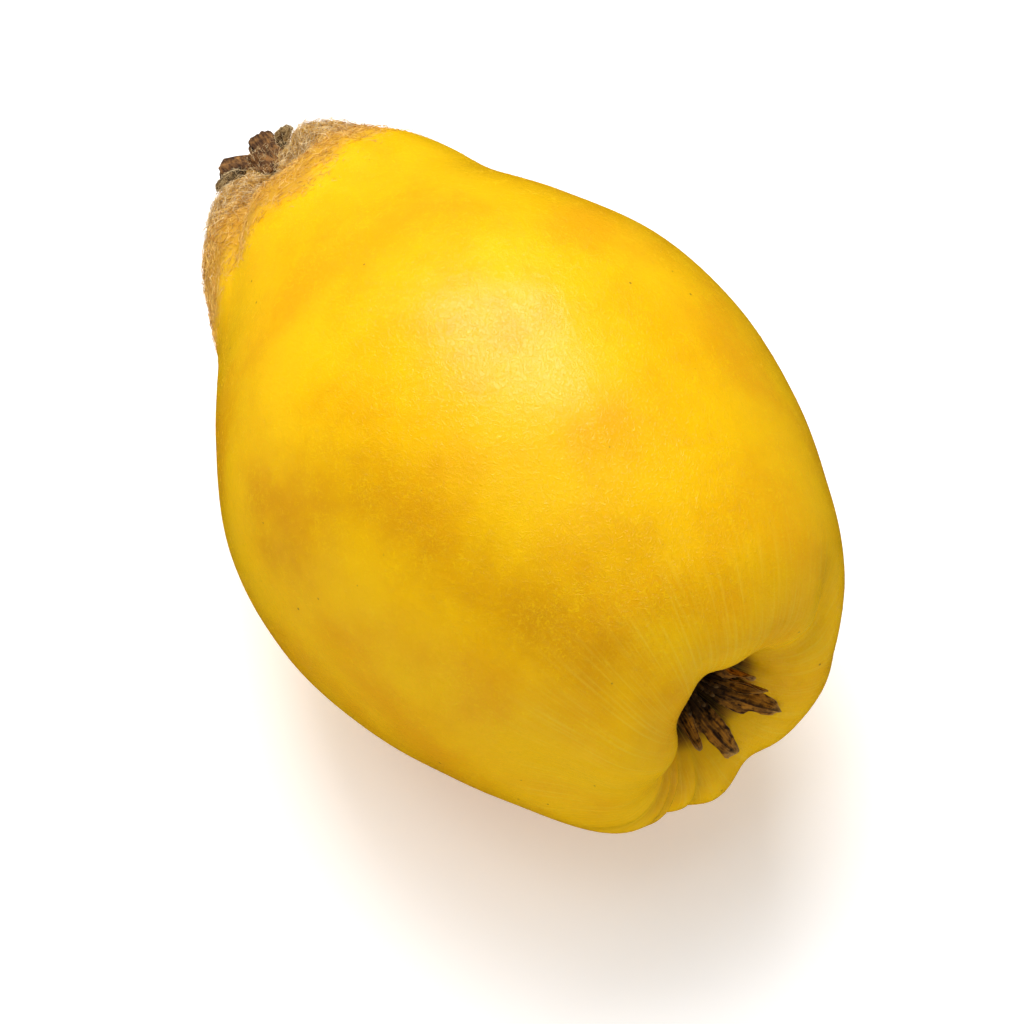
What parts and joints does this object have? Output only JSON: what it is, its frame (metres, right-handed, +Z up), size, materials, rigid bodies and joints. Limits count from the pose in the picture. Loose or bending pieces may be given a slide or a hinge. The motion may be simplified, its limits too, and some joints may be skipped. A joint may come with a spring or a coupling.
{
  "type": "quince",
  "caption": "Ripe pear-shaped quince lying on its side, with a broken stalk at one end and dried sepals in the basin at the other.",
  "frame": {"origin": "middle of the small flat spot on the underside that the fruit rests on", "axes": "+Z up; the core line runs along X, leaning 2 degrees, with the stalk at -X and the flower basin at +X"},
  "size_m": [0.1164, 0.0731, 0.0722],
  "materials": {
    "ripe_skin": "satin, downy fruit skin",
    "dead_wood": "rough, dry, fibrous",
    "bud_scale": "felted, matt",
    "dried_sepal": "dry, brittle leaf, matt"
  },
  "bodies": {
    "root": {"fruit": "ripe_skin", "stalk_stub": "dead_wood", "side_shoot_stub": "dead_wood", "bud_stub": "dead_wood", "bud_scale_right": "bud_scale", "bud_scale_left": "bud_scale", "sepal_1": "dried_sepal", "sepal_2": "dried_sepal", "sepal_3": "dried_sepal", "sepal_4": "dried_sepal", "sepal_5": "dried_sepal", "stamen_1": "dried_sepal", "stamen_2": "dried_sepal", "stamen_3": "dried_sepal", "stamen_4": "dried_sepal"}
  },
  "joints": []
}
